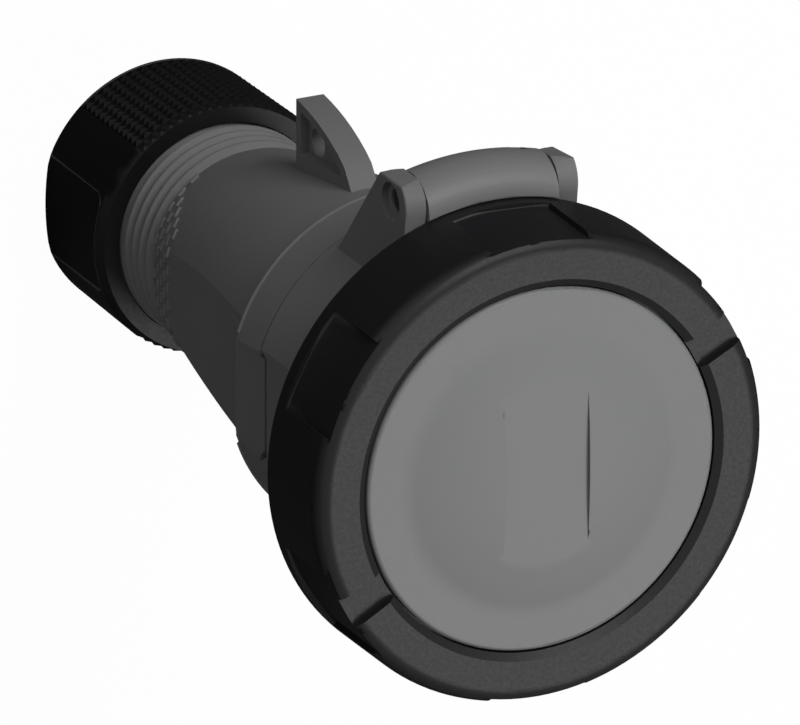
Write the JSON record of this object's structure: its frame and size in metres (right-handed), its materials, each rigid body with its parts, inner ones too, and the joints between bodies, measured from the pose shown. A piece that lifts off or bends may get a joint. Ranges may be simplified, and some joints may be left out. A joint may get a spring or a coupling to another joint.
{
  "type": "industrial cable coupler",
  "caption": "Industrial cable coupler: tapered grey housing, knurled black gland nut, hinged lid locked by a black bayonet ring, and a contact insert inside.",
  "frame": {"origin": "centre of the cable entry on the gland nut's rear face", "axes": "+Z along the coupler towards the lid, +Y towards the lid's hinge"},
  "size_m": [0.098, 0.1063, 0.175],
  "materials": {
    "housing_plastic": "moulded grey polyamide, fine grain",
    "lid_plastic": "moulded grey polyamide, smooth",
    "ring_plastic": "moulded dark grey polyamide",
    "black_plastic": "moulded black polyamide",
    "carrier_plastic": "moulded thermoset insert",
    "seal_rubber": "soft rubber",
    "contact_brass": "turned brass",
    "screw_steel": "stainless steel"
  },
  "bodies": {
    "housing": {"rear_housing": "housing_plastic", "front_housing": "housing_plastic", "body_seal": "seal_rubber", "contact_carrier": "carrier_plastic", "carrier_base": "carrier_plastic", "carrier_clamp": "carrier_plastic", "carrier_screw": "screw_steel", "phase_contact_1": "contact_brass", "phase_contact_2": "contact_brass", "phase_contact_3": "contact_brass", "neutral_contact": "contact_brass", "earth_contact": "contact_brass", "terminal_screws": "screw_steel", "contact_springs": "screw_steel", "cable_seal": "seal_rubber", "clamp_cage": "black_plastic", "hinge_pin": "screw_steel"},
    "gland_washer": {"thrust_washer": "black_plastic"},
    "gland_nut": {"gland_nut": "black_plastic"},
    "lid": {"lid": "lid_plastic", "lid_gasket": "seal_rubber", "lid_spring": "screw_steel"},
    "bayonet_ring": {"bayonet_ring": "ring_plastic", "ring_retainer": "black_plastic"}
  },
  "joints": [
    {"name": "lid_hinge", "type": "hinge", "parent": "housing", "child": "lid", "pos_m": [0, 0.0493, 0.1433], "axis": [-1, 0, 0], "range_deg": [0, 175], "stiffness_Nm_per_rad": 0.02, "springref_deg": -28.65},
    {"name": "bayonet_turn", "type": "hinge", "parent": "lid", "child": "bayonet_ring", "pos_m": [0, 0, 0.1618], "axis": [0, 0, -1], "range_deg": [0, 30]},
    {"name": "gland_slide", "type": "slide", "parent": "housing", "child": "gland_washer", "axis": [0, 0, 1], "range_m": [-0.0093, 0]},
    {"name": "gland_turn", "type": "hinge", "parent": "gland_washer", "child": "gland_nut", "pos_m": [0, 0, 0.014], "axis": [0, 0, 1], "range_deg": [-1080, 0]}
  ],
  "couplings": [
    {"joint": "gland_slide", "follows": "gland_turn", "m_per_rad": 0.00049338}
  ]
}
